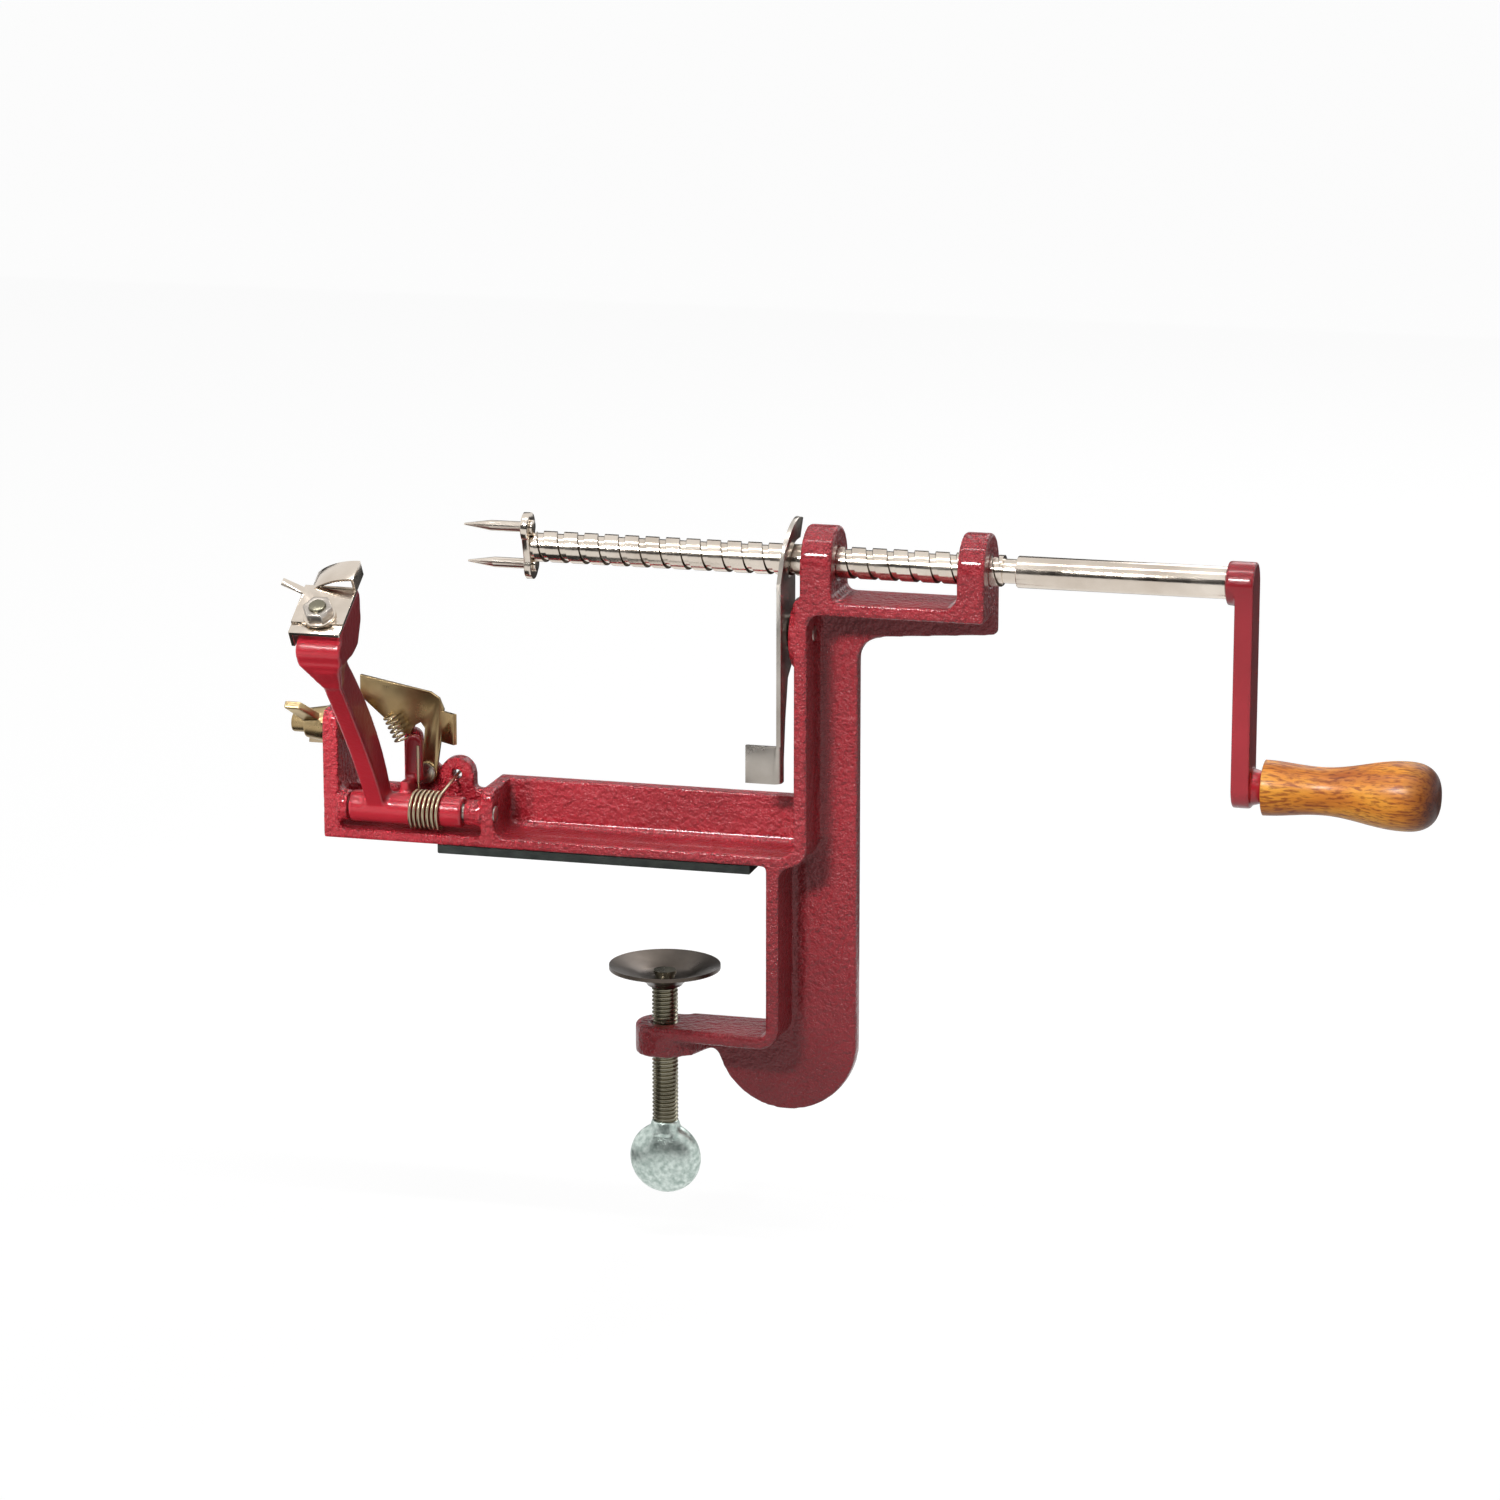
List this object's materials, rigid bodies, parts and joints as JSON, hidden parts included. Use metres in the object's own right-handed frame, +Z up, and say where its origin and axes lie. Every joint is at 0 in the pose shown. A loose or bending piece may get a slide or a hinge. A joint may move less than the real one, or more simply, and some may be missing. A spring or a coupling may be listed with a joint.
{
  "type": "apple peeler",
  "caption": "Hand-cranked apple peeler with a table clamp: a threaded rod feeds the fruit on a fork past a sprung arm with a hoop blade.",
  "frame": {"origin": "centre of the rubber pad's underside, where the frame sits on the table", "axes": "+X along the feed rod towards the crank, +Y away from the user, +Z up"},
  "size_m": [0.3526, 0.0765, 0.2133],
  "materials": {
    "red_enamel": "thick glossy red enamel over rough iron",
    "rubber": "matte dark rubber",
    "steel": "plain steel sheet and pins",
    "bright_plate": "bright plating",
    "gold_zinc": "yellowish zinc plating over steel",
    "spring_wire": "yellowish spring wire",
    "gunmetal": "dark worn metal",
    "dull_zinc": "dull mottled zinc",
    "oak": "varnished orange-brown wood"
  },
  "bodies": {
    "frame": {"frame_casting": "red_enamel", "table_pad": "rubber", "arm_shaft": "steel", "lever_rivet": "steel", "lever_washer": "steel", "latch_rivet": "steel", "slicer_bolt": "gold_zinc", "arm_spring": "spring_wire", "latch_spring": "spring_wire"},
    "arm": {"peel_arm": "red_enamel", "blade_holder": "bright_plate", "peel_blade": "steel", "blade_stud": "gold_zinc", "blade_washer": "steel", "blade_nut": "steel"},
    "latch": {"latch_plate": "gold_zinc"},
    "lever": {"release_lever": "steel"},
    "rod_carrier": {"shank_sleeve": "bright_plate"},
    "crank": {"feed_rod": "bright_plate", "rod_collar": "bright_plate", "fork_plate": "bright_plate", "fork_prongs": "bright_plate", "crank_arm": "red_enamel", "grip_pin": "steel"},
    "grip": {"wood_grip": "oak"},
    "clamp_slide": {"clamp_disc": "gunmetal"},
    "clamp_spin": {"clamp_screw": "dull_zinc", "clamp_knob": "dull_zinc"},
    "wing_slide": {"wing_washer": "steel"},
    "wing_spin": {"wing_nut": "gold_zinc"}
  },
  "joints": [
    {"name": "rod_feed", "type": "slide", "parent": "frame", "child": "rod_carrier", "axis": [-1, 0, 0], "range_m": [-0.06986, 0.05716]},
    {"name": "crank_turn", "type": "hinge", "parent": "rod_carrier", "child": "crank", "pos_m": [0.159, 0, 0.095], "axis": [-1, 0, 0], "range_deg": [-3960, 3240]},
    {"name": "grip_spin", "type": "hinge", "parent": "crank", "child": "grip", "pos_m": [0.228, 0, 0.0345], "axis": [1, 0, 0], "continuous": true},
    {"name": "lever_tilt", "type": "hinge", "parent": "frame", "child": "lever", "pos_m": [0.05865, 0, 0.073], "axis": [1, 0, 0], "range_deg": [0, 9], "stiffness_Nm_per_rad": 0.08, "springref_deg": -6.88},
    {"name": "arm_swing", "type": "hinge", "parent": "frame", "child": "arm", "pos_m": [-0.059, -0.008, 0.013], "axis": [1, 0, 0], "range_deg": [-14, 45], "stiffness_Nm_per_rad": 0.3, "springref_deg": -5.73, "deforming": ["arm_spring"]},
    {"name": "latch_tilt", "type": "hinge", "parent": "frame", "child": "latch", "pos_m": [-0.0578, 0.007, 0.0209], "axis": [0, 1, 0], "range_deg": [0, 10], "stiffness_Nm_per_rad": 0.05, "springref_deg": -5.73, "deforming": ["latch_spring"]},
    {"name": "clamp_feed", "type": "slide", "parent": "frame", "child": "clamp_slide", "axis": [0, 0, 1], "range_m": [-0.01, 0.02125]},
    {"name": "clamp_turn", "type": "hinge", "parent": "clamp_slide", "child": "clamp_spin", "pos_m": [0.0198, 0, -0.06], "axis": [0, 0, 1], "range_deg": [-2881, 6121]},
    {"name": "wing_feed", "type": "slide", "parent": "frame", "child": "wing_slide", "axis": [-1, 0, 0], "range_m": [0, 0.002]},
    {"name": "wing_turn", "type": "hinge", "parent": "wing_slide", "child": "wing_spin", "pos_m": [-0.09, 0, 0.036], "axis": [-1, 0, 0], "range_deg": [-1, 721]}
  ],
  "couplings": [
    {"joint": "rod_feed", "follows": "crank_turn", "m_per_rad": 0.0010106},
    {"joint": "clamp_turn", "follows": "clamp_feed", "rad_per_m": 5026.5},
    {"joint": "wing_turn", "follows": "wing_feed", "rad_per_m": 6283.2}
  ]
}
